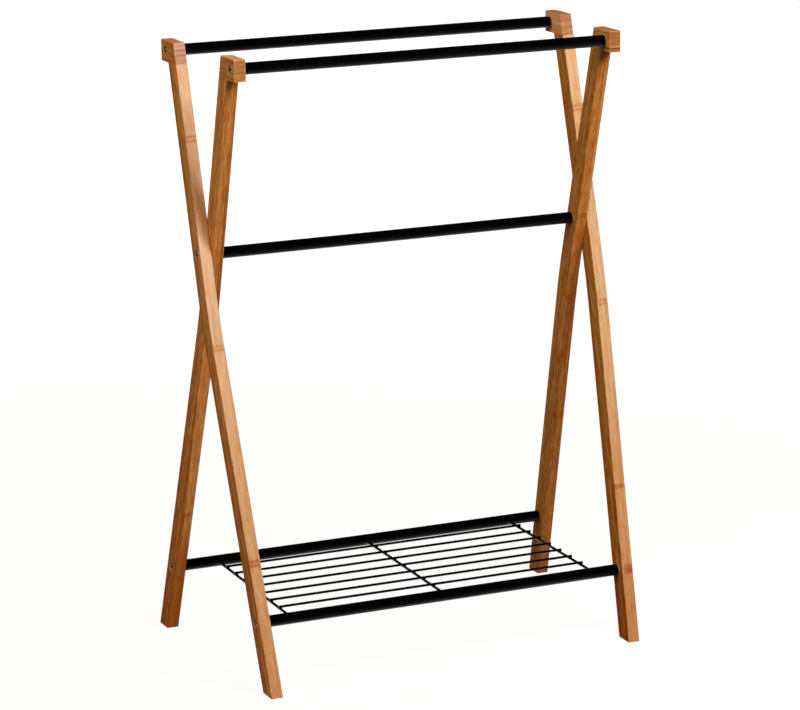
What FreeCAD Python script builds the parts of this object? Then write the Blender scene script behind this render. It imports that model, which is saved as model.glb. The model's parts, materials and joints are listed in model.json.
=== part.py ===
"""Towel rack with a wire shelf: crossed bamboo legs, black steel tubes and bolted joints.

Millimetres, +Z up, X along the rails, front towards -Y.
The origin is on the floor, in the middle of the rack.
"""
import FreeCAD, Part
import math
import os
from FreeCAD import Vector

# Overall form
height = 857.0              # floor to the top of the head blocks
width = 600.0               # across the outer faces of the outer legs, above the crossing
lean_angle = 16.7           # degrees that every leg leans from upright
crossing_height = 577.0     # floor to the axis on which the legs cross

# Legs and head blocks
leg_thickness = 17.0        # along the rails
leg_width = 30.0            # square to the lean
edge_radius = 1.5           # rounded long edges, the same on legs and heads
spring_length = 80.0        # stretch below the crossing over which a leg is sprung sideways
spring_start = 5.0          # from the end of the legs' contact to the start of that stretch
head_height = 29.5
head_depth = 49.5           # along the top face
rail_setback = 16.0         # overhanging face of a head block to the rail's axis

# Steel tubes
tube_diameter = 16.0
tube_wall = 1.2
shelf_height = 95.0         # floor to the axes of the shelf tubes

# Wire shelf
cross_wire_diameter = 4.0
cross_wire_inset = 36.5     # inside face of the front legs to the axis of the outer cross wire
shelf_wire_diameter = 3.5
shelf_wire_count = 7
shelf_wire_pitch = 34.0
shelf_wire_overhang = 2.5   # past the axis of the outer cross wire
weld_set = 0.4              # how deep a long wire is pressed into a cross wire

# Bolts and the threaded plugs in the tube ends
bolt_diameter = 6.0
bolt_hole_clearance = 0.6   # on the diameter, in the wood
bolt_head_diameter = 11.0
bolt_head_height = 3.3
bolt_head_rim = 0.8         # straight side of the head, under its dome
bolt_head_flat = 6.0        # across the flat round the socket
bolt_head_sink = 1.5        # head below the face of the wood
counterbore_clearance = 1.0     # on the diameter
counterbore_edge = 0.8      # broken edge round the pocket's mouth
socket_size = 5.0           # across the flats
socket_depth = 2.4
thread_engagement = 18.0
thread_play = 0.1           # on the diameter
plug_length = 22.0          # inside the tube
flange_thickness = 2.4      # of the plug, as wide as the tube, between its end and the wood
seat_depth = 0.6            # shallow round seat in the wood for each flange
seat_clearance = 0.2        # on the diameter

# Dowels in the seams between heads and legs
dowel_diameter = 6.0
dowel_length = 24.0
dowel_spacing = 14.0

# Directions and places worked out from the sizes above
ORIGIN = Vector(0, 0, 0)
ALONG_X = Vector(1, 0, 0)
ALONG_Y = Vector(0, 1, 0)
ALONG_Z = Vector(0, 0, 1)
OUTWARD = 1
INWARD = -1
lean = math.radians(lean_angle)
seam_height = height - head_height
outer_face = width / 2
middle_face = outer_face - leg_thickness
inner_face = middle_face - leg_thickness
shelf_spread = (crossing_height - shelf_height) * math.tan(lean)
head_back = (height - crossing_height) * math.tan(lean) - leg_width / 2 / math.cos(lean) + head_depth
rail_depth = head_back - rail_setback
rail_height = height - head_height / 2
tube_bore = tube_diameter - 2 * tube_wall
bolt_head_depth = bolt_head_sink + bolt_head_height
cross_wire_reach = inner_face - cross_wire_inset
shelf_wire_height = shelf_height + (cross_wire_diameter + shelf_wire_diameter) / 2 - weld_set


def rod(start, axis, length, diameter):
    """A round bar from a point along an axis."""
    return Part.makeCylinder(diameter / 2, length, start, axis)


def turned(edges, y, z):
    """A piece turned about a line along X, from the edges of half its section."""
    return Part.Face(Part.Wire(edges)).revolve(Vector(0, y, z), ALONG_X, 360)


def runs(points):
    """Straight edges from each point to the next."""
    return [Part.LineSegment(a, b).toShape() for a, b in zip(points, points[1:])]


def mirrored_left(shape):
    """The left-hand copy of a piece on the right."""
    return shape.mirror(ORIGIN, ALONG_X)


def mirrored_front(shape):
    """The front copy of a piece at the rear."""
    return shape.mirror(ORIGIN, ALONG_Y)


def rounded_rectangle(centre_x, size_x, size_y, radius, level):
    """A level rectangle with rounded corners, as a closed wire."""
    x = size_x / 2 - radius
    y = size_y / 2 - radius
    corners = [(x, y, 0), (-x, y, 90), (-x, -y, 180), (x, -y, 270)]
    arcs = []
    for corner_x, corner_y, turn in corners:
        middle = Vector(centre_x + corner_x, corner_y, level)
        arcs.append(Part.ArcOfCircle(Part.Circle(middle, ALONG_Z, radius),
                                     math.radians(turn), math.radians(turn + 90)))
    edges = []
    for arc, following in zip(arcs, arcs[1:] + arcs[:1]):
        edges.append(arc.toShape())
        edges.append(Part.LineSegment(arc.EndPoint, following.StartPoint).toShape())
    return Part.Wire(edges)


def leg_path(centre_x, sideways):
    """Middle line of an upright leg: straight at the crossing, then sprung sideways below it.

    The straight stretch at the foot passes the shelf tube one leg thickness to the side.
    """
    top = (height - crossing_height) / math.cos(lean) + leg_width
    foot = crossing_height / math.cos(lean) + leg_width
    half = spring_length / 2
    begin = leg_width / 2 / math.tan(lean) + spring_start
    corner = begin + half
    tube = (crossing_height - shelf_height) / math.cos(lean)
    turn = math.atan(leg_thickness / (tube - corner))
    radius = half / math.tan(turn / 2)

    def on_arc(angle):
        shift = sideways * radius * (1 - math.cos(angle))
        return Vector(centre_x + shift, 0, -begin - radius * math.sin(angle))

    end_shift = sideways * (foot - corner) * math.tan(turn)
    upper = Part.LineSegment(Vector(centre_x, 0, top), on_arc(0))
    bend = Part.Arc(on_arc(0), on_arc(turn / 2), on_arc(turn))
    lower = Part.LineSegment(on_arc(turn), Vector(centre_x + end_shift, 0, -foot))
    return Part.Wire([upper.toShape(), bend.toShape(), lower.toShape()]), top


def make_leg(centre_x, sideways):
    """A right-hand leg with its foot at the front, cut level at the floor and at the head's seam."""
    path, top = leg_path(centre_x, sideways)
    section = rounded_rectangle(centre_x, leg_thickness, leg_width, edge_radius, top)
    bar = path.makePipeShell([section], True, False)
    bar.rotate(ORIGIN, ALONG_X, -lean_angle)
    bar.translate(ALONG_Z * crossing_height)
    slab = Part.makeBox(width, 2 * height, seam_height, Vector(0, -height, 0))
    return bar.common(slab)


def make_head(outside):
    """A right-hand rear head block: level top and seam, upright overhang, one side flush with the leg."""
    flush_top = head_back - head_depth
    flush_seam = flush_top - head_height * math.tan(lean)
    corners = [(flush_seam, seam_height), (flush_top, height), (head_back, height), (head_back, seam_height)]
    points = [Vector(outside - leg_thickness, y, z) for y, z in corners]
    block = Part.Face(Part.makePolygon(points + points[:1])).extrude(ALONG_X * leg_thickness)
    open_edges = [edge for edge in block.Edges if edge.BoundBox.ZMax > seam_height + edge_radius]
    return block.makeFillet(edge_radius, open_edges)


def bolt_hole(y, z):
    """Through hole for a bolt, across both legs of the right-hand end."""
    start = Vector(inner_face - leg_thickness, y, z)
    return rod(start, ALONG_X, 4 * leg_thickness, bolt_diameter + bolt_hole_clearance)


def counterbore(outside, y, z):
    """Pocket for a bolt head in the outside face, with a broken edge."""
    radius = (bolt_head_diameter + counterbore_clearance) / 2
    pocket = rod(Vector(outside - bolt_head_depth, y, z), ALONG_X, leg_thickness, 2 * radius)
    mouth_start = Vector(outside - counterbore_edge, y, z)
    spread = 2 * counterbore_edge
    mouth = Part.makeCone(radius, radius + spread, spread, mouth_start, ALONG_X)
    return pocket.fuse(mouth)


def flange_seat(inside, y, z):
    """Shallow pocket for a plug's flange in the inside face."""
    start = Vector(inside + seat_depth, y, z)
    return rod(start, -ALONG_X, leg_thickness, tube_diameter + seat_clearance)


def make_bolt(outside, grip_end, y, z):
    """A domed socket bolt from the right, sunk in the outside face, whose thread starts at grip_end."""
    under = outside - bolt_head_depth
    shank = under - grip_end + thread_engagement
    r = bolt_head_diameter / 2
    e = bolt_head_rim
    f = bolt_head_flat / 2
    h = bolt_head_height

    def at(along, across):
        return Vector(under + along, y + across, z)

    # The dome is part of a ball whose middle lies on the axis
    middle = (h * h + f * f - e * e - r * r) / (2 * (h - e))
    ball = math.hypot(e - middle, r)
    halfway = (math.atan2(r, e - middle) + math.atan2(f, h - middle)) / 2
    crown = at(middle + ball * math.cos(halfway), ball * math.sin(halfway))
    s = bolt_diameter / 2
    side = runs([at(h, 0), at(-shank, 0), at(-shank, s), at(0, s), at(0, r), at(e, r)])
    dome = Part.Arc(at(e, r), crown, at(h, f)).toShape()
    body = turned(side + [dome] + runs([at(h, f), at(h, 0)]), y, z)
    corner = socket_size / math.sqrt(3)
    socket_floor = under + h - socket_depth
    hexagon = []
    for step in range(7):
        angle = math.radians(60 * step)
        hexagon.append(Vector(socket_floor, y + corner * math.cos(angle), z + corner * math.sin(angle)))
    return body.cut(Part.Face(Part.makePolygon(hexagon)).extrude(ALONG_X * h))


def make_tube(seat, y, z):
    """A tube between the flanges of its plugs."""
    end = seat - flange_thickness
    start = Vector(-end, y, z)
    return rod(start, ALONG_X, 2 * end, tube_diameter).cut(rod(start, ALONG_X, 2 * end, tube_bore))


def make_plug(seat, y, z):
    """The threaded plug in a tube's right-hand end, with its flange in the wood's seat."""
    shoulder = seat - flange_thickness
    inner = shoulder - plug_length
    thread = (bolt_diameter + thread_play) / 2
    section = [(inner, thread), (inner, tube_bore / 2), (shoulder, tube_bore / 2),
               (shoulder, tube_diameter / 2), (seat, tube_diameter / 2), (seat, thread)]
    points = [Vector(x, y + across, z) for x, across in section]
    return turned(runs(points + points[:1]), y, z)


def make_dowels(centre_x):
    """The two dowels in the seam of a right-hand rear head."""
    middle = (seam_height - crossing_height) * math.tan(lean)
    low = seam_height - dowel_length / 2
    places = [middle - dowel_spacing / 2, middle + dowel_spacing / 2]
    return [rod(Vector(centre_x, y, low), ALONG_Z, dowel_length, dowel_diameter) for y in places]


def both_ends(shapes):
    """Right-hand pieces with their left-hand copies, as one group of separate solids."""
    return Part.makeCompound(shapes + [mirrored_left(shape) for shape in shapes])


# Every tube: where the flanges of its plugs seat in the wood, and its axis
long_seat = middle_face + seat_depth
short_seat = inner_face + seat_depth
tubes = {
    "rear_top_rail": (long_seat, rail_depth, rail_height),
    "front_top_rail": (short_seat, -rail_depth, rail_height),
    "middle_rail": (short_seat, 0.0, crossing_height),
    "front_shelf_tube": (short_seat, -shelf_spread, shelf_height),
    "rear_shelf_tube": (long_seat, shelf_spread, shelf_height),
}
parts = {}
for name, (seat, y, z) in tubes.items():
    parts[name] = make_tube(seat, y, z)
    parts[name + "_plugs"] = both_ends([make_plug(seat, y, z)])

# Head blocks: the rear ones on the outer legs, the front ones on the inner legs
rear_head = make_head(outer_face)
rear_head = rear_head.cut([bolt_hole(rail_depth, rail_height),
                           counterbore(outer_face, rail_depth, rail_height),
                           flange_seat(middle_face, rail_depth, rail_height)])
front_head = mirrored_front(make_head(middle_face))
front_head = front_head.cut([bolt_hole(-rail_depth, rail_height),
                             counterbore(middle_face, -rail_depth, rail_height),
                             flange_seat(inner_face, -rail_depth, rail_height)])
rear_dowels = make_dowels(outer_face - leg_thickness / 2)
front_dowels = [mirrored_front(dowel) for dowel in make_dowels(middle_face - leg_thickness / 2)]

# Legs: at the shelf the outer leg stands in the inner leg's place, and the inner leg in the outer's
outer_leg = make_leg(outer_face - leg_thickness / 2, INWARD)
outer_leg = outer_leg.cut([bolt_hole(0, crossing_height),
                           counterbore(outer_face, 0, crossing_height),
                           bolt_hole(-shelf_spread, shelf_height),
                           counterbore(middle_face, -shelf_spread, shelf_height),
                           flange_seat(inner_face, -shelf_spread, shelf_height)] + rear_dowels)
inner_leg = mirrored_front(make_leg(middle_face - leg_thickness / 2, OUTWARD))
inner_leg = inner_leg.cut([bolt_hole(0, crossing_height),
                           flange_seat(inner_face, 0, crossing_height),
                           bolt_hole(shelf_spread, shelf_height),
                           counterbore(outer_face, shelf_spread, shelf_height),
                           flange_seat(middle_face, shelf_spread, shelf_height)] + front_dowels)

wood = {
    "outer_leg": outer_leg,
    "inner_leg": inner_leg,
    "rear_head": rear_head.cut(rear_dowels),
    "front_head": front_head.cut(front_dowels),
}
for name, shape in wood.items():
    parts["right_" + name] = shape
    parts["left_" + name] = mirrored_left(shape)
parts["head_dowels"] = both_ends(rear_dowels + front_dowels)

# Bolts, in groups of one length
parts["head_bolts"] = both_ends([make_bolt(outer_face, long_seat, rail_depth, rail_height),
                                 make_bolt(middle_face, short_seat, -rail_depth, rail_height)])
parts["crossing_bolts"] = both_ends([make_bolt(outer_face, short_seat, 0, crossing_height)])
parts["shelf_bolts"] = both_ends([make_bolt(middle_face, short_seat, -shelf_spread, shelf_height),
                                  make_bolt(outer_face, long_seat, shelf_spread, shelf_height)])

# Wire shelf: long wires on cross wires that end on the facing sides of the shelf tubes
shelf_wires = []
wire_end = cross_wire_reach + shelf_wire_overhang
for index in range(shelf_wire_count):
    y = (index - (shelf_wire_count - 1) / 2) * shelf_wire_pitch
    start = Vector(-wire_end, y, shelf_wire_height)
    shelf_wires.append(rod(start, ALONG_X, 2 * wire_end, shelf_wire_diameter))
    parts["shelf_wire_%d" % (index + 1)] = shelf_wires[-1]
tube_sides = [rod(Vector(-wire_end, y, shelf_height), ALONG_X, 2 * wire_end, tube_diameter)
              for y in (-shelf_spread, shelf_spread)]
for side, x in (("left", -cross_wire_reach), ("middle", 0.0), ("right", cross_wire_reach)):
    wire = rod(Vector(x, -shelf_spread, shelf_height), ALONG_Y, 2 * shelf_spread, cross_wire_diameter)
    parts[side + "_cross_wire"] = wire.cut(tube_sides + shelf_wires)

os.makedirs("parts", exist_ok=True)
for name, shape in parts.items():
    shape.exportStep("parts/%s.step" % name)
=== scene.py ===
"""Looks of the towel rack: lacquered bamboo legs, black coated tubes and wires, plated bolts.

Metres, +Z up, X along the rails, front towards -Y, the same frame as the CAD model.
Patterns in the rack's materials are in millimetres.
"""
import json
import math
from functools import partial
import bpy
import bmesh
from mathutils import Matrix, Vector, noise


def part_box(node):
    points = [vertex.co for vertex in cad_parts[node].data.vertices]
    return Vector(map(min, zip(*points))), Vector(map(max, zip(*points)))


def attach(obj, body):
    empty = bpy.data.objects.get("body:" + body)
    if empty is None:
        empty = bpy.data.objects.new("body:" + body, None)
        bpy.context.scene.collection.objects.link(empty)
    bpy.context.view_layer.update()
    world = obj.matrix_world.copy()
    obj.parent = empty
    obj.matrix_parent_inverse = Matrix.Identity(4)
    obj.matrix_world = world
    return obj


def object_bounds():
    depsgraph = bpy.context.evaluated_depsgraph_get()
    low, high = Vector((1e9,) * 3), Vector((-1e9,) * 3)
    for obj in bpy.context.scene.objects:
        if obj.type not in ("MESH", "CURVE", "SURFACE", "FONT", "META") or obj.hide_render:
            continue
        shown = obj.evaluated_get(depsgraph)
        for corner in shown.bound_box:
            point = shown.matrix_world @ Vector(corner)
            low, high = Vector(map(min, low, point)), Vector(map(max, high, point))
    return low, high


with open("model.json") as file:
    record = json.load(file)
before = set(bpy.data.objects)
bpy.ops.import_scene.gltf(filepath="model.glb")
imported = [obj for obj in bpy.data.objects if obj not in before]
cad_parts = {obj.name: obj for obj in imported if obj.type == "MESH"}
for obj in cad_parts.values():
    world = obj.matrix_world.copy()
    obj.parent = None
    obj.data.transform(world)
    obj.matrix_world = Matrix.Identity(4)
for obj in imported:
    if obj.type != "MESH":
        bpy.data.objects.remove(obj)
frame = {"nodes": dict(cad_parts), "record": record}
cad_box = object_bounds()
nodes = frame["nodes"]

MILLIMETRES = 1000.0             # in a metre
BEYOND = 1.0e6                   # millimetres, farther than any face
ACROSS_ALL = -20.0               # millimetres from a leg's middle, outside its faces
WHITE = (1.0, 1.0, 1.0)

# Camera of the photograph
image_width = 800                # pixels
focal_pixels = 3243.9
sensor_width = 36.0              # millimetres
camera_reach = 200.0             # as far as it sees
camera_place = Vector((-1.7517, -4.0506, 1.4844))
camera_yaw = 0.40776             # radians from +Y towards +X
camera_pitch = 0.23986           # radians down
camera_roll = -0.01411

# Studio: a lamp's level is how bright it makes a white face turned to it at the rack's middle
floor_reach = 40.0
floor_tone = 0.07                # lit part of the floor, which carries the shadow
floor_near = 0.8                 # out to here the floor leaves room for that part
floor_far = 3.5                  # from here on it is white by itself
floor_near_white = 0.934
key_size = 1.4
key_distance = 2.8
key_azimuth = 21.0               # degrees to the right of the front
key_elevation = 43.0
key_level = 0.76
fill_size = 4.5
fill_distance = 6.0
fill_azimuth = -65.0
fill_elevation = 35.0
fill_level = 0.43
fill_colour = (1.0, 0.76, 0.50)
back_size = 3.6
back_distance = 6.0
back_azimuth = 148.0
back_elevation = 20.0
back_level = 0.70
back_colour = (1.0, 0.90, 0.76)
world_level = 0.02

# Bamboo, in millimetres and in steps of tone, where 0 is dark and 1 is light
leg_half = 8.5                   # half of a leg's thickness
strip_thickness = 5.7            # strips across the leg's thickness
strip_width = 10.0               # and across its width
cell_limit = 1.3                 # in strips from the middle, keeps a face inside its outer strip
strip_shift = (90.0, 90.0, 900.0)    # farthest that the noise moves from strip to strip
seed_steps = (1.0, 2.7, 5.1)     # a seed's part in each direction
middle_tone = 0.5
narrow_contrast = 0.25           # between strips on narrow faces
broad_contrast = 0.75            # and on sides
spring_corner = 95.0             # below the crossing, where a leg turns sideways
drift_middle = 150.0             # below the crossing, where a leg has its middle tone
side_rim_shade = (11.8, 14.2, -0.25)   # painted shade: a side darkens from here to there from its middle, by so much
foot_softness = 20.0             # half of the length over which the painted shade at a foot sets in
patch_softness = 0.4             # the same for the dark patch across the leg
patch_fade = 40.0                # and along it
head_layering = 0.12             # a head changes this much slower across than up through its layers
painted_edge_highlight = (1.8, 0.8, 0.65)     # painted highlight: a head's ends get paler from here to there from an edge, by so much
facing_range = (0.5, 0.85)       # a face comes to count as across an axis over this part of its normal

# Noise in the wood: waves per millimetre across and along the grain, and weight in the tone
fibre = (1.50, 0.022, 1.7)
fleck = (0.75, 0.075, 1.5)
dash = (0.40, 0.030, 1.3)
blotch = (0.18, 0.055, 1.1)
streak = (0.16, 0.003, 1.6)
cloud = (0.05, 0.012, 0.6)
grain_detail = 2.0
grain_roughness = 0.55
broad_figure = 1.15              # strength of all of it on the sides
outer_calm = 0.55                # and on the narrow faces of outer legs
inner_calm = 0.95                # of inner legs
head_calm = 0.75                 # and of heads
hue_patches = (0.45, 0.08)
hue_spread = 0.035

# Culm joints, in millimetres, and their noise: waves per millimetre across and along the grain, detail and
# roughness
stroke_noise = (0.50, 0.10, 2.0, 0.6)
mottle_noise = (0.42, 0.30, 3.0, 0.6)
wave_noise = (0.28, 0.0, 2.0, 0.5)
joint_wave = 6.0                 # how far the noise moves a joint
joint_fray = 10.0                # the ends of its strokes
joint_ragged = 8.0               # and its start across the leg
joint_softness = 1.0             # half of the width over which that start fades
joint_on_sides = 0.25            # strength of a joint on the sides
band_past = 3.0                  # the band fades out from short of its half length to past it
band_short = 2.0
stroke_range = (0.14, -0.16)     # noise in the palest and the darkest strokes
palest_stroke = 0.5              # as a share of the darkest
line_place = 0.65                # the two lines are at this share of the half length
line_reach = 2.0                 # a line fades out over this much from its middle
line_range = (-0.16, 0.14)       # noise in the palest and the darkest parts of a line
palest_line = 0.4                # as a share of the darkest

# Glue seams, bolt pockets and sockets, in millimetres
seam_step = 0.3                  # half of the height over which the tone changes at a seam
seam_wave = 0.6
seam_line = (0.85, 0.35)         # from the seam's middle, where its line starts and where it is full
pocket_radius = 6.0              # bolt pockets: darker inside, partly cut wood and partly painted shade, with a painted highlight on the broken edge
pocket_edge = 6.8
socket_radius = 2.7              # the bolts' hex sockets, with painted shade inside
rim_softness = 0.2

# Colours of the wood, dark to light
edge_tones = [(0.60, 0.236, 0.070), (0.71, 0.374, 0.173), (0.80, 0.505, 0.300)]
amber_tones = [(0.59, 0.252, 0.086), (0.69, 0.400, 0.200), (0.775, 0.530, 0.330)]
# Narrow faces of the inner legs, whose fronts face down: deeper than the outer legs', partly their own tone,
# partly painted shade
inner_tones = [(0.52, 0.168, 0.031), (0.70, 0.270, 0.064), (0.85, 0.377, 0.113)]
# Sides of legs and heads, darker and deeper than the narrow faces: partly the cut's own tone, partly painted
# shade
side_tones = [(0.40, 0.132, 0.015), (0.546, 0.229, 0.050), (0.677, 0.340, 0.103)]
end_tones = [(0.30, 0.095, 0.026), (0.40, 0.142, 0.044), (0.52, 0.215, 0.080)]
# Tops of the heads, darker than the heads' ends: painted shade
shaded_cap_tones = [(0.24, 0.074, 0.018), (0.32, 0.110, 0.032), (0.42, 0.170, 0.060)]
# Top of the left front head: its own warmer tone, partly darkened as painted shade
warm_tones = [(0.38, 0.139, 0.042), (0.475, 0.199, 0.068), (0.56, 0.264, 0.098)]
soft_tones = [(0.294, 0.108, 0.037), (0.392, 0.162, 0.062), (0.51, 0.245, 0.114)]
# Sides of the right rear head: a lighter copy of the side tones, painted light
painted_light_tones = [(0.62, 0.275, 0.070), (0.79, 0.400, 0.160), (0.93, 0.520, 0.270)]
pale_tones = [(0.40, 0.175, 0.082), (0.505, 0.265, 0.153), (0.60, 0.350, 0.220)]
raw_tones = [(0.55, 0.36, 0.20), (0.62, 0.43, 0.25), (0.70, 0.50, 0.30)]
lightest_wood = 0.95             # limit of the tones beyond light
glow_tint = (0.84, 0.56, 0.37)
knot_tint = (0.55, 0.36, 0.23)
seam_tint = (0.42, 0.30, 0.22)
dark_patch_tint = (0.65, 0.455, 0.25)
# Inside the bolt pockets: partly cut wood, partly painted shade. On their broken edge: a painted highlight
pocket_wood_and_shade_tint = (0.30, 0.24, 0.20)
pocket_rim_highlight = (0.78, 0.52, 0.30)

# Colours of the other materials, dark and light
coat_colours = [(0.0005, 0.0005, 0.0006), (0.0012, 0.0012, 0.0013)]
plate_colours = [(0.76, 0.75, 0.74), (0.88, 0.87, 0.86)]
nylon_colours = [(0.30, 0.225, 0.15), (0.38, 0.29, 0.20)]
colour_spread = 2.0              # strength of the noise that mixes the two
socket_shade_tint = (0.12, 0.11, 0.10)     # painted shade inside the bolts' sockets

# Noise in the other materials: waves per millimetre, detail and roughness
coat_waves = 0.02
tube_peel = 1.1                  # millimetres per wave of the orange peel
wire_peel = 0.9
plate_waves = 2.5
nylon_waves = 0.35
fine_detail = 3.0
fine_roughness = 0.6

# Finishes: roughness and how far noise varies it, relief in metres and its strength, and level of gloss,
# where 0.5 is that of a plain varnish
wood_rough = (0.52, 0.25)
wood_relief = (0.0003, 0.5)
dash_relief = 0.5                # relief of the dashes against that of the fibres
wood_gloss = 0.012
coat_rough = (0.32, 0.2)
coat_relief = (0.00006, 0.3)
coat_glance = (0.03, 0.03, 0.03, 1.0)    # gloss seen straight on, against that at grazing angles
plate_rough = (0.12, 0.2)
plate_relief = (0.00004, 0.4)
nylon_rough = (0.5, 0.2)
nylon_relief = (0.00004, 0.3)
nylon_gloss = 0.2


def centre(node):
    """Middle of a CAD node's box."""
    low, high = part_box(node)
    return (low + high) / 2


class Graph:
    """A material's node tree, with short calls for the nodes used here."""

    def __init__(self, name):
        self.material = bpy.data.materials.new(name)
        self.material.use_nodes = True
        self.tree = self.material.node_tree
        self.shader = self.tree.nodes["Principled BSDF"]

    def feed(self, socket, value):
        """Links a socket to another one, or sets it to a fixed value."""
        if isinstance(value, bpy.types.NodeSocket):
            self.tree.links.new(value, socket)
        else:
            socket.default_value = value

    def node(self, kind, inputs=None, **settings):
        """A new node with its settings, and its inputs by name or number."""
        made = self.tree.nodes.new("ShaderNode" + kind)
        for key, value in settings.items():
            setattr(made, key, value)
        for key, value in (inputs or {}).items():
            self.feed(made.inputs[key], value)
        return made

    def math(self, operation, a, b=0.0, c=0.0):
        return self.node("Math", {0: a, 1: b, 2: c}, operation=operation).outputs[0]

    def between(self, factor, start, end):
        """Two fixed values mixed: start at factor 0, end at 1."""
        return self.math("MULTIPLY_ADD", factor, end - start, start)

    def vector(self, operation, a, b=(0.0, 0.0, 0.0)):
        made = self.node("VectorMath", {0: a, 1: b}, operation=operation)
        return made.outputs["Value" if operation in ("DOT_PRODUCT", "LENGTH") else "Vector"]

    def combine(self, x, y, z):
        return self.node("CombineXYZ", {0: x, 1: y, 2: z}).outputs[0]

    def split(self, vector):
        return self.node("SeparateXYZ", {0: vector}).outputs

    def noise(self, vector, wide, long, detail=2.0, roughness=0.5):
        """Noise about zero, with so many waves per millimetre along X and Y, and along Z."""
        inputs = {"Vector": self.vector("MULTIPLY", vector, (wide, wide, long)), "Scale": 1.0,
                  "Detail": detail, "Roughness": roughness}
        return self.math("SUBTRACT", self.node("TexNoise", inputs).outputs[0], 0.5)

    def smooth(self, value, low, high, start=0.0, end=1.0):
        """From start where the value is low to end where it is high."""
        inputs = {0: value, 1: low, 2: high, 3: start, 4: end}
        return self.node("MapRange", inputs, interpolation_type="SMOOTHSTEP").outputs[0]

    def ramp(self, value, colours):
        """Colours evenly spaced from 0 to 1."""
        made = self.node("ValToRGB", {0: value})
        points = made.color_ramp.elements
        while len(points) < len(colours):
            points.new(1.0)
        for index, (point, colour) in enumerate(zip(points, colours)):
            point.position = index / (len(colours) - 1)
            point.color = (*colour, 1.0)
        return made.outputs[0]

    def wood(self, tone, tones):
        """Dark at tone 0, light at 1, and as far again beyond both in the same steps."""
        dark, middle, light = tones
        darkest = [low * low / mid for low, mid in zip(dark, middle)]
        lightest = [min(high * high / mid, lightest_wood) for high, mid in zip(light, middle)]
        # Tones 0 to 1 take the middle half of the ramp
        return self.ramp(self.math("MULTIPLY_ADD", tone, 0.5, 0.25), [darkest, *tones, lightest])

    def cloudy(self, pattern, colours):
        """Two colours mixed by noise."""
        return self.ramp(self.math("MULTIPLY_ADD", pattern, colour_spread, 0.5), colours)

    def mix(self, factor, a, b, blend="MIX"):
        """Two colours mixed: the node's inputs 6 and 7, and its output 2."""
        made = self.node("Mix", data_type="RGBA", blend_type=blend)
        for index, value in ((0, factor), (6, a), (7, b)):
            is_colour = index > 0 and not isinstance(value, bpy.types.NodeSocket)
            self.feed(made.inputs[index], (*value, 1.0) if is_colour else value)
        return made.outputs[2]

    def place(self):
        """Position in the CAD frame, in millimetres: every node's object sits at the origin."""
        return self.vector("MULTIPLY", self.node("TexCoord").outputs["Object"], (MILLIMETRES,) * 3)

    def facing(self, axis):
        """1 on faces across an axis, 0 on the others."""
        normal = self.split(self.node("NewGeometry").outputs["Normal"])
        return self.smooth(self.math("ABSOLUTE", normal[axis]), *facing_range)

    def finish(self, colour, pattern, rough, height, relief):
        """Feeds the shader its colour, its roughness, which follows a pattern, and its relief."""
        middle, spread = rough
        distance, strength = relief
        bump = self.node("Bump", {"Height": height, "Distance": distance, "Strength": strength})
        self.feed(self.shader.inputs["Base Color"], colour)
        self.feed(self.shader.inputs["Roughness"], self.math("MULTIPLY_ADD", pattern, spread, middle))
        self.feed(self.shader.inputs["Normal"], bump.outputs[0])
        return self.material


def leg_grain(graph, top_x, sideways_slope, axis_down, crossing):
    """Millimetres across the thickness, across the width and down along a sprung leg."""
    local = graph.vector("SUBTRACT", graph.place(), tuple(crossing))
    across = Vector((0.0, -axis_down.z, axis_down.y))
    down = graph.vector("DOT_PRODUCT", local, tuple(axis_down))
    width = graph.vector("DOT_PRODUCT", local, tuple(across))
    sprung = graph.math("MAXIMUM", graph.math("SUBTRACT", down, spring_corner), 0.0)
    bend = graph.math("MULTIPLY_ADD", sprung, sideways_slope, top_x)
    thickness = graph.math("SUBTRACT", graph.split(local)[0], bend)
    return graph.combine(thickness, width, down)


def head_grain(graph, middle, foot):
    """Millimetres across a head's thickness, up through its layers and along its level grain."""
    local = graph.split(graph.vector("SUBTRACT", graph.place(), (middle.x, middle.y, foot)))
    return graph.combine(graph.math("MULTIPLY", local[0], head_layering), local[2], local[1])


def from_edge(graph, middle, half):
    """On a box's faces, millimetres to its nearest edge: the second least depth below its six planes."""
    offset = graph.vector("ABSOLUTE", graph.vector("SUBTRACT", graph.place(), tuple(middle)))
    x, y, z = graph.split(graph.vector("SUBTRACT", tuple(half), offset))
    nearer = graph.math("MINIMUM", graph.math("MAXIMUM", x, y), z)
    return graph.math("MAXIMUM", graph.math("MINIMUM", x, y), nearer)


def from_axis(graph, axis):
    """Millimetres from a line along X."""
    spoke = graph.vector("SUBTRACT", graph.place(), (0.0, axis.y, axis.z))
    return graph.vector("LENGTH", graph.vector("MULTIPLY", spoke, (0.0, 1.0, 1.0)))


def split_strips(graph, grain, strips, seed):
    """Each strip's own random value, and a grain that gives it fibres of its own."""
    cells = graph.vector("DIVIDE", grain, (*strips, BEYOND))
    cells = graph.vector("MINIMUM", cells, (cell_limit,) * 3)
    cells = graph.vector("MAXIMUM", cells, (-cell_limit,) * 3)
    cells = graph.vector("FLOOR", graph.vector("ADD", cells, (0.5, 0.5, 0.5)))
    keyed = graph.vector("ADD", cells, tuple(seed * step for step in seed_steps))
    strip = graph.node("TexWhiteNoise", {"Vector": keyed}, noise_dimensions="3D").outputs
    shift = graph.vector("MULTIPLY", strip["Color"], strip_shift)
    return strip["Value"], graph.vector("ADD", grain, shift)


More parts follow.
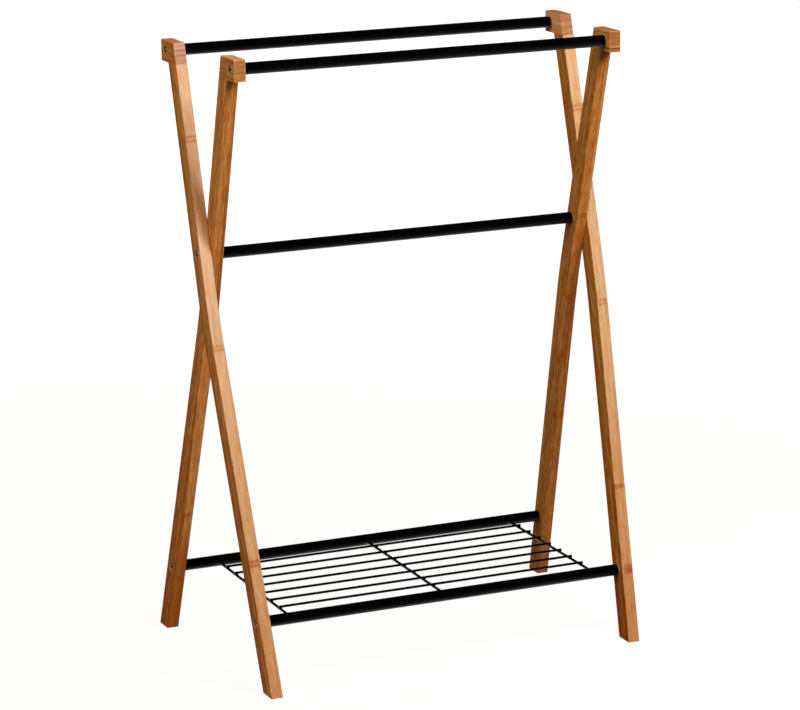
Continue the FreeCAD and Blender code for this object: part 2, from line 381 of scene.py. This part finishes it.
def darkened(graph, colour, grain, sideways, dark_patch):
    """A dark strip on the narrow faces that runs out at one edge, and the dark foot below it."""
    start, slope, end = dark_patch
    across, _, along = graph.split(grain)
    border = graph.math("MULTIPLY", graph.math("SUBTRACT", along, start), slope)
    inside = graph.math("SUBTRACT", border, across)
    inside = graph.smooth(inside, leg_half - patch_softness, leg_half + patch_softness)
    inside = graph.math("MAXIMUM", inside, graph.smooth(along, end - patch_fade, end + patch_fade))
    inside = graph.math("MULTIPLY", inside, graph.math("SUBTRACT", 1.0, sideways))
    return graph.mix(inside, colour, dark_patch_tint, "MULTIPLY")


def culm_joints(graph, colour, grain, own, sideways, knots):
    """Bands of short browner strokes along the grain, each with two uneven dark lines."""
    across, _, along = graph.split(grain)
    strokes = graph.noise(own, *stroke_noise)
    mottle = graph.noise(own, *mottle_noise)
    wave = graph.noise(grain, *wave_noise)
    shown = graph.between(sideways, 1.0, joint_on_sides)
    ragged = graph.math("MULTIPLY_ADD", mottle, joint_ragged, across)
    for level, half, fill, line, start in knots:
        offset = graph.math("MULTIPLY_ADD", wave, joint_wave, graph.math("SUBTRACT", along, level))
        reach = graph.math("ABSOLUTE", offset)
        started = graph.smooth(ragged, start - joint_softness, start + joint_softness)
        within = graph.math("MULTIPLY", shown, started)
        frayed = graph.math("MULTIPLY_ADD", strokes, joint_fray, reach)
        band = graph.math("MULTIPLY", graph.smooth(frayed, half + band_past, half - band_short), within)
        stroke = graph.smooth(strokes, *stroke_range, palest_stroke * fill, fill)
        colour = graph.mix(graph.math("MULTIPLY", band, stroke), colour, glow_tint, "MULTIPLY")
        lines = graph.math("ABSOLUTE", graph.math("SUBTRACT", reach, line_place * half))
        lines = graph.math("MULTIPLY", graph.smooth(lines, line_reach, 0.0), within)
        dark = graph.smooth(mottle, *line_range, palest_line * line, line)
        colour = graph.mix(graph.math("MULTIPLY", lines, dark), colour, knot_tint, "MULTIPLY")
    return colour


def glue_seams(graph, colour, grain, seams):
    """Thin dark lines between a head's layers."""
    up = graph.split(grain)[1]
    wave = graph.noise(grain, *wave_noise)
    for level, _, _, depth in seams:
        offset = graph.math("MULTIPLY_ADD", wave, seam_wave, graph.math("SUBTRACT", up, level))
        line = graph.smooth(graph.math("ABSOLUTE", offset), *seam_line, 0.0, depth)
        colour = graph.mix(line, colour, seam_tint, "MULTIPLY")
    return colour


def bolt_pockets(graph, colour, pockets):
    """Dark inside the bolts' pockets, partly cut wood and partly painted shade, and a painted highlight on
    the broken edge round them.
    """
    for axis in pockets:
        reach = from_axis(graph, axis)
        edge = graph.smooth(reach, pocket_edge + rim_softness / 2, pocket_edge - rim_softness / 2)
        colour = graph.mix(edge, colour, pocket_rim_highlight)
        inside = graph.smooth(reach, pocket_radius + rim_softness, pocket_radius)
        colour = graph.mix(inside, colour, pocket_wood_and_shade_tint, "MULTIPLY")
    return colour


def bamboo(name, make_grain, seed, broad_tones, narrow_tones, strips=(BEYOND, BEYOND),
           broad_shade=(0.0, 0.0), narrow_shade=(0.0, 0.0), calm=1.0, rim_shade=None, foot=None, dark_patch=None,
           top_tones=None, knots=(), seams=(), pockets=(), block=None):
    """Laminated bamboo: strips of different tone with fibres and flecks, and what is named by the rest.

    Broad faces are the sides, across X. Narrow faces are all the others.
    """
    graph = Graph(name)
    grain = make_grain(graph)
    _, up, along = graph.split(grain)
    sideways = graph.facing(0)
    strip_tone, own = split_strips(graph, grain, strips, seed)

    # Tone: the strips', which drifts along a leg, partly as painted light and shade, and the fibres' and
    # flecks'
    below_crossing = graph.math("MAXIMUM", along, 0.0)
    shades = []
    for run, (shade, drift) in ((below_crossing, narrow_shade), (along, broad_shade)):
        level = middle_tone + shade - drift * drift_middle
        shades.append(graph.math("MULTIPLY_ADD", run, drift, level))
    # Inputs 2 and 3 of the node are plain numbers
    tone = graph.node("Mix", {0: sideways, 2: shades[0], 3: shades[1]}).outputs[0]
    contrast = graph.between(sideways, narrow_contrast, broad_contrast)
    tone = graph.math("MULTIPLY_ADD", graph.math("SUBTRACT", strip_tone, 0.5), contrast, tone)
    layers = []
    figure = 0.0
    for wide, long, weight in (fibre, fleck, dash, blotch, streak, cloud):
        layers.append(graph.noise(own, wide, long, grain_detail, grain_roughness))
        figure = graph.math("MULTIPLY_ADD", layers[-1], weight, figure)
    strength = graph.between(sideways, calm, broad_figure)
    tone = graph.math("MULTIPLY_ADD", figure, strength, tone)

    # Steps in tone at seams, a painted highlight along the heads' edges, painted shade along the sides' rims
    # and at the feet
    for level, broad_step, narrow_step, _ in seams:
        step = graph.between(sideways, narrow_step, broad_step)
        above = graph.smooth(up, level - seam_step, level + seam_step)
        tone = graph.math("MULTIPLY_ADD", above, step, tone)
    # Paler tone near the edges of the heads' ends: painted highlight
    if block:
        start, end, step = painted_edge_highlight
        highlight_mask = graph.smooth(from_edge(graph, *block), start, end, 0.0, step)
        tone = graph.math("MULTIPLY_ADD", highlight_mask, graph.math("SUBTRACT", 1.0, sideways), tone)
    # Darker along the sides' edges: painted shade
    if rim_shade:
        start, end, step = rim_shade
        edge = graph.math("MULTIPLY", graph.smooth(graph.math("ABSOLUTE", up), start, end), sideways)
        tone = graph.math("MULTIPLY_ADD", edge, step, tone)
    # Darker foot on the sides: painted shade
    if foot:
        start, step = foot
        below = graph.smooth(along, start - foot_softness, start + foot_softness)
        tone = graph.math("MULTIPLY_ADD", graph.math("MULTIPLY", below, sideways), step, tone)

    # Sides take their own darker tones: partly the cut's tone, partly painted shade
    colour = graph.mix(sideways, graph.wood(tone, narrow_tones), graph.wood(tone, broad_tones))
    # Tops take tones of their own, darkened as painted shade
    if top_tones:
        colour = graph.mix(graph.facing(2), colour, graph.wood(tone, top_tones))
    hue = graph.math("MULTIPLY_ADD", graph.noise(own, *hue_patches), hue_spread, 0.5)
    colour = graph.node("HueSaturation", {"Hue": hue, "Color": colour}).outputs[0]
    # Darker on the narrow faces in a strip that runs out at one edge, and at the foot
    if dark_patch:
        colour = darkened(graph, colour, grain, sideways, dark_patch)
    if knots:
        colour = culm_joints(graph, colour, grain, own, sideways, knots)
    if seams:
        colour = glue_seams(graph, colour, grain, seams)
    colour = bolt_pockets(graph, colour, pockets)

    fibres = layers[0]
    dashes = layers[2]
    relief = graph.math("MULTIPLY_ADD", dashes, dash_relief, fibres)
    graph.shader.inputs["Specular IOR Level"].default_value = wood_gloss
    return graph.finish(colour, fibres, wood_rough, relief, wood_relief)


def black_coat(name, peel_size):
    """Black powder coat: faint orange peel and slightly uneven gloss."""
    graph = Graph(name)
    peel = graph.noise(graph.place(), 1.0 / peel_size, 1.0 / peel_size)
    uneven_gloss = graph.noise(graph.place(), coat_waves, coat_waves)
    graph.shader.inputs["Specular Tint"].default_value = coat_glance
    return graph.finish(graph.cloudy(uneven_gloss, coat_colours), uneven_gloss, coat_rough, peel, coat_relief)


def plated_steel(name, sockets):
    """Bright plate with fine turning marks, and painted shade inside the sockets."""
    graph = Graph(name)
    marks = graph.noise(graph.place(), plate_waves, plate_waves, fine_detail, fine_roughness)
    colour = graph.cloudy(marks, plate_colours)
    # Painted shade inside each socket
    for axis in sockets:
        inside = graph.smooth(from_axis(graph, axis), socket_radius + rim_softness, socket_radius)
        colour = graph.mix(inside, colour, socket_shade_tint, "MULTIPLY")
    graph.shader.inputs["Metallic"].default_value = 1.0
    return graph.finish(colour, marks, plate_rough, marks, plate_relief)


def nylon(name):
    """Natural moulded nylon, faintly cloudy."""
    graph = Graph(name)
    haze = graph.noise(graph.place(), nylon_waves, nylon_waves, fine_detail, fine_roughness)
    graph.shader.inputs["Specular IOR Level"].default_value = nylon_gloss
    return graph.finish(graph.cloudy(haze, nylon_colours), haze, nylon_rough, haze, nylon_relief)


def dress(node, material):
    """Gives a CAD node its material."""
    mesh = nodes[node].data
    mesh.materials.clear()
    mesh.materials.append(material)


# Legs
mounts = {mount["name"]: Vector(mount["pos_m"]) * MILLIMETRES for mount in frame["record"]["mounts"]}
crossing = centre("middle_rail") * MILLIMETRES
feet = {"outer": mounts["right_front_foot"], "inner": mounts["right_rear_foot"]}
lean = math.atan2(abs(feet["outer"].y), crossing.z)
foot_drop = crossing.z / math.cos(lean) - spring_corner
leg_seed = 3.1
leg_seed_step = 7.3

# Culm joints: millimetres down from the crossing, half length, strength of the strokes and of the lines,
# and where they start across the leg
knots = {
    "left_outer_leg": [(-156.0, 5.0, 0.50, 0.75, ACROSS_ALL), (129.0, 4.5, 0.55, 0.65, ACROSS_ALL),
                       (423.0, 5.0, 0.95, 0.85, ACROSS_ALL)],
    "left_inner_leg": [(408.0, 2.0, 0.50, 0.75, ACROSS_ALL)],
    "right_outer_leg": [(-153.0, 5.0, 0.50, 0.60, ACROSS_ALL), (125.0, 4.5, 0.60, 0.50, ACROSS_ALL),
                        (387.0, 2.5, 0.70, 0.90, ACROSS_ALL), (504.0, 6.5, 1.0, 0.75, -5.0),
                        (504.5, 2.0, 0.0, 0.90, -4.5)],
    "right_inner_leg": [(-9.0, 3.0, 0.50, 0.75, ACROSS_ALL), (320.0, 4.0, 0.35, 0.45, ACROSS_ALL)],
}

# Step in tone and drift per millimetre, of the sides and of the narrow faces; the drift paints part of the
# change of light down each leg
leg_shades = {
    "left_outer_leg": ((-0.05, -0.0006), (0.20, -0.0011)),
    "left_inner_leg": ((-0.28, -0.0011), (-0.15, 0.0010)),
    "right_outer_leg": ((-0.15, -0.0006), (-0.085, -0.0009)),
    "right_inner_leg": ((0.45, -0.0003), (-0.29, -0.0005)),
}
leg_fronts = {"left_outer_leg": edge_tones, "right_outer_leg": amber_tones}
leg_foot_shades = {"right_outer_leg": (505.0, -0.35)}               # painted shade on the sides' foot: start below the crossing, step in tone
dark_patches = {"left_inner_leg": (180.0, 0.0204, 445.0)}          # start, slope across the leg, dark foot
axes = {tube: centre(tube) * MILLIMETRES for tube in
        ("rear_top_rail", "front_top_rail", "middle_rail", "front_shelf_tube", "rear_shelf_tube")}
leg_pockets = {"outer": [axes["middle_rail"], axes["front_shelf_tube"]], "inner": [axes["rear_shelf_tube"]]}
leg_calm = {"outer": outer_calm, "inner": inner_calm}
leg_heads = {"outer": "rear", "inner": "front"}
legs = [(side, way) for side in ("left", "right") for way in ("outer", "inner")]
for index, (side, way) in enumerate(legs):
    leg = "%s_%s_leg" % (side, way)
    outward = 1 if side == "right" else -1
    foot = Vector((outward * feet[way].x, feet[way].y, 0.0))
    top_x = centre("%s_%s_head" % (side, leg_heads[way])).x * MILLIMETRES
    slope = (foot.x - top_x) / foot_drop
    axis_down = Vector((0.0, math.copysign(math.sin(lean), foot.y), -math.cos(lean)))
    grain = partial(leg_grain, top_x=top_x, sideways_slope=slope, axis_down=axis_down, crossing=crossing)
    dress(leg, bamboo("bamboo_" + leg, grain, leg_seed + leg_seed_step * index, side_tones,
                      leg_fronts.get(leg, inner_tones), (strip_thickness, strip_width), *leg_shades[leg],
                      leg_calm[way], side_rim_shade, leg_foot_shades.get(leg), dark_patches.get(leg), knots=knots[leg],
                      pockets=leg_pockets[way]))

# Heads: seams are millimetres up from the leg, the steps in tone above them on sides and ends, and how
# dark their lines are
head_seed = 41.7
head_seed_step = 5.9
seams = {
    "left_rear_head": [(12.0, 0.10, 0.10, 0.35), (20.0, -0.10, 0.30, 0.30)],
    "left_front_head": [(9.8, 0.0, 0.25, 0.0), (12.2, 0.14, -0.22, 0.95), (21.0, -0.05, 0.20, 0.20)],
    "right_rear_head": [(11.5, 0.50, 0.0, 0.40), (20.5, 0.0, 0.0, 0.40)],
    "right_front_head": [(5.6, 0.10, 0.80, 0.95), (8.8, 0.0, -0.70, 0.10)],
}
# The right rear head's sides get painted light
head_sides = {"right_rear_head": painted_light_tones}
head_ends = {"left_rear_head": pale_tones, "right_rear_head": soft_tones}
head_tops = {"left_front_head": warm_tones}
head_shades = {
    "left_rear_head": ((-0.28, 0.0), (0.0, 0.0)),
    "left_front_head": ((-0.10, 0.0), (0.20, 0.0)),
    "right_rear_head": ((-0.25, 0.0), (0.08, 0.0)),
    "right_front_head": ((0.15, 0.0), (-0.20, 0.0)),
}
for index, (head, head_seams) in enumerate(seams.items()):
    low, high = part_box(head)
    middle = centre(head) * MILLIMETRES
    half = (high - low) / 2 * MILLIMETRES
    grain = partial(head_grain, middle=middle, foot=low.z * MILLIMETRES)
    rail = axes["rear_top_rail" if "rear" in head else "front_top_rail"]
    dress(head, bamboo("bamboo_" + head, grain, head_seed + head_seed_step * index,
                       head_sides.get(head, side_tones), head_ends.get(head, end_tones),
                       broad_shade=head_shades[head][0], narrow_shade=head_shades[head][1], calm=head_calm,
                       top_tones=head_tops.get(head, shaded_cap_tones), seams=head_seams, pockets=[rail],
                       block=(middle, half)))

# Steel, plugs and dowels
dowel_seed = 77.0
dowel_grain = partial(head_grain, middle=Vector((0.0, 0.0, 0.0)), foot=0.0)
wire_coat = black_coat("wire_coat", wire_peel)
slot_materials = {
    "black_tube": black_coat("tube_coat", tube_peel),
    "black_wire": wire_coat,
    "bolt_steel": plated_steel("bolt_plate", axes.values()),
    "plug_nylon": nylon("plug_nylon"),
    "dowel_wood": bamboo("dowel_wood", dowel_grain, dowel_seed, raw_tones, raw_tones),
}
for subpart in frame["record"]["subparts"]:
    if subpart["material_slot"] in slot_materials:
        dress(subpart["node"], slot_materials[subpart["material_slot"]])


# Welds of the wire shelf, in metres
shelf_wire_count = 7
weld_sides = 20
# Rings of a fillet: how far from the tube's face along the wire, and how much wider than the wire
weld_rings = [(-0.0010, 0.0018), (0.0000, 0.0016), (0.0007, 0.0009), (0.0015, 0.0004), (0.0024, 0.0000)]
weld_lump = 0.00022              # unevenness of the beads
weld_waves = 900.0               # its waves per metre
bead_reach = Vector((0.0029, 0.0030, 0.0011))    # half sizes of a bead between two wires
bead_fineness = 3                # how finely its faces are divided


def uneven(point, size):
    """Unevenness of a bead at a point, the same in every run."""
    return size * noise.noise(point * weld_waves)


def tube_weld(mesh, start, way, wire_radius):
    """A fillet of weld round a wire where it meets a tube, from start along Y."""
    rings = []
    for along, swell in weld_rings:
        ring = []
        for step in range(weld_sides):
            angle = 2 * math.pi * step / weld_sides
            spoke = Vector((math.cos(angle), 0.0, math.sin(angle)))
            point = start + Vector((0.0, way * along, 0.0)) + spoke * (wire_radius + swell)
            ring.append(mesh.verts.new(point + spoke * uneven(point, weld_lump if swell else 0.0)))
        rings.append(ring)
    for lower, upper in zip(rings, rings[1:]):
        for step in range(weld_sides):
            after = (step + 1) % weld_sides
            mesh.faces.new((lower[step], lower[after], upper[after], upper[step]))
    mesh.faces.new(rings[0])
    mesh.faces.new(rings[-1])


def wire_weld(mesh, place):
    """A flat bead squeezed out where a long wire lies on a cross wire."""
    made = bmesh.ops.create_icosphere(mesh, subdivisions=bead_fineness, radius=1.0)["verts"]
    for vert in made:
        spread = Vector([a * b for a, b in zip(vert.co, bead_reach)])
        vert.co = place + spread + vert.co * uneven(place + spread, weld_lump)


def make_welds():
    """All welds of the shelf, as one piece."""
    mesh = bmesh.new()
    long_wires = ["shelf_wire_%d" % (index + 1) for index in range(shelf_wire_count)]
    for cross_wire in ("left_cross_wire", "middle_cross_wire", "right_cross_wire"):
        low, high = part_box(cross_wire)
        middle = (low + high) / 2
        wire_radius = (high.x - low.x) / 2
        for tube, way in (("front_shelf_tube", 1), ("rear_shelf_tube", -1)):
            tube_low, tube_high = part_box(tube)
            face = tube_high.y if way > 0 else tube_low.y
            tube_weld(mesh, Vector((middle.x, face, middle.z)), way, wire_radius)
        for long_wire in long_wires:
            wire_low, wire_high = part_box(long_wire)
            touch = (high.z + wire_low.z) / 2
            wire_weld(mesh, Vector((middle.x, (wire_low.y + wire_high.y) / 2, touch)))
    bmesh.ops.recalc_face_normals(mesh, faces=mesh.faces)
    for face in mesh.faces:
        face.smooth = True
    data = bpy.data.meshes.new("shelf_welds")
    mesh.to_mesh(data)
    mesh.free()
    data.materials.append(wire_coat)
    welds = bpy.data.objects.new("shelf_welds", data)
    bpy.context.scene.collection.objects.link(welds)
    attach(welds, "root")


def make_floor():
    """A level white floor that still carries the rack's shadow."""
    mesh = bpy.data.meshes.new("floor")
    r = floor_reach
    mesh.from_pydata([(-r, -r, 0), (r, -r, 0), (r, r, 0), (-r, r, 0)], [], [(0, 1, 2, 3)])
    floor = bpy.data.objects.new("floor", mesh)
    bpy.context.scene.collection.objects.link(floor)
    graph = Graph("floor_white")
    path = graph.node("LightPath").outputs
    seen = graph.math("ADD", path["Is Camera Ray"], path["Is Glossy Ray"])
    seen = graph.math("MINIMUM", graph.math("ADD", seen, path["Is Transmission Ray"]), 1.0)
    distance = graph.vector("LENGTH", graph.node("TexCoord").outputs["Object"])
    white = graph.smooth(distance, floor_near, floor_far, floor_near_white, 1.0)
    graph.shader.inputs["Base Color"].default_value = (floor_tone, floor_tone, floor_tone, 1.0)
    graph.shader.inputs["Roughness"].default_value = 1.0
    graph.shader.inputs["Specular IOR Level"].default_value = 0.0
    graph.shader.inputs["Emission Color"].default_value = (*WHITE, 1.0)
    graph.feed(graph.shader.inputs["Emission Strength"], graph.math("MULTIPLY", seen, white))
    mesh.materials.append(graph.material)


def area_light(name, azimuth, elevation, distance, size, level, colour=WHITE):
    """A square soft light aimed at the middle of the rack, which gloss and camera don't see."""
    light = bpy.data.lights.new(name, "AREA")
    light.shape = "SQUARE"
    light.size = size
    light.energy = level * 4 * math.pi * distance ** 2
    light.color = colour
    lamp = bpy.data.objects.new(name, light)
    bpy.context.scene.collection.objects.link(lamp)
    aim = (cad_box[0] + cad_box[1]) / 2
    a = math.radians(azimuth)
    e = math.radians(elevation)
    back = Vector((math.sin(a) * math.cos(e), -math.cos(a) * math.cos(e), math.sin(e)))
    lamp.location = aim + back * distance
    lamp.rotation_euler = back.to_track_quat("Z", "Y").to_euler()
    lamp.visible_glossy = False
    lamp.visible_camera = False


def make_world():
    """Faint even light from all round."""
    world = bpy.data.worlds.new("studio")
    world.use_nodes = True
    background = world.node_tree.nodes["Background"]
    background.inputs["Color"].default_value = (*WHITE, 1.0)
    background.inputs["Strength"].default_value = world_level
    bpy.context.scene.world = world


def make_camera():
    """The camera that was fitted to the photograph."""
    data = bpy.data.cameras.new("photo_camera")
    data.sensor_fit = "HORIZONTAL"
    data.sensor_width = sensor_width
    data.lens = focal_pixels * sensor_width / image_width
    data.clip_end = camera_reach
    level = Vector((math.sin(camera_yaw), math.cos(camera_yaw), 0.0))
    side = Vector((math.cos(camera_yaw), -math.sin(camera_yaw), 0.0))
    up = Vector((0.0, 0.0, 1.0))
    forward = level * math.cos(camera_pitch) - up * math.sin(camera_pitch)
    upright = level * math.sin(camera_pitch) + up * math.cos(camera_pitch)
    right = side * math.cos(camera_roll) + upright * math.sin(camera_roll)
    top = upright * math.cos(camera_roll) - side * math.sin(camera_roll)
    camera = bpy.data.objects.new("photo_camera", data)
    bpy.context.scene.collection.objects.link(camera)
    turn = Matrix((right, top, -forward)).transposed().to_4x4()
    camera.matrix_world = Matrix.Translation(camera_place) @ turn
    bpy.context.scene.camera = camera


make_welds()
make_floor()
area_light("key", key_azimuth, key_elevation, key_distance, key_size, key_level)
area_light("fill", fill_azimuth, fill_elevation, fill_distance, fill_size, fill_level, fill_colour)
area_light("back", back_azimuth, back_elevation, back_distance, back_size, back_level, back_colour)
make_world()
make_camera()
bpy.context.scene.view_settings.view_transform = "Standard"
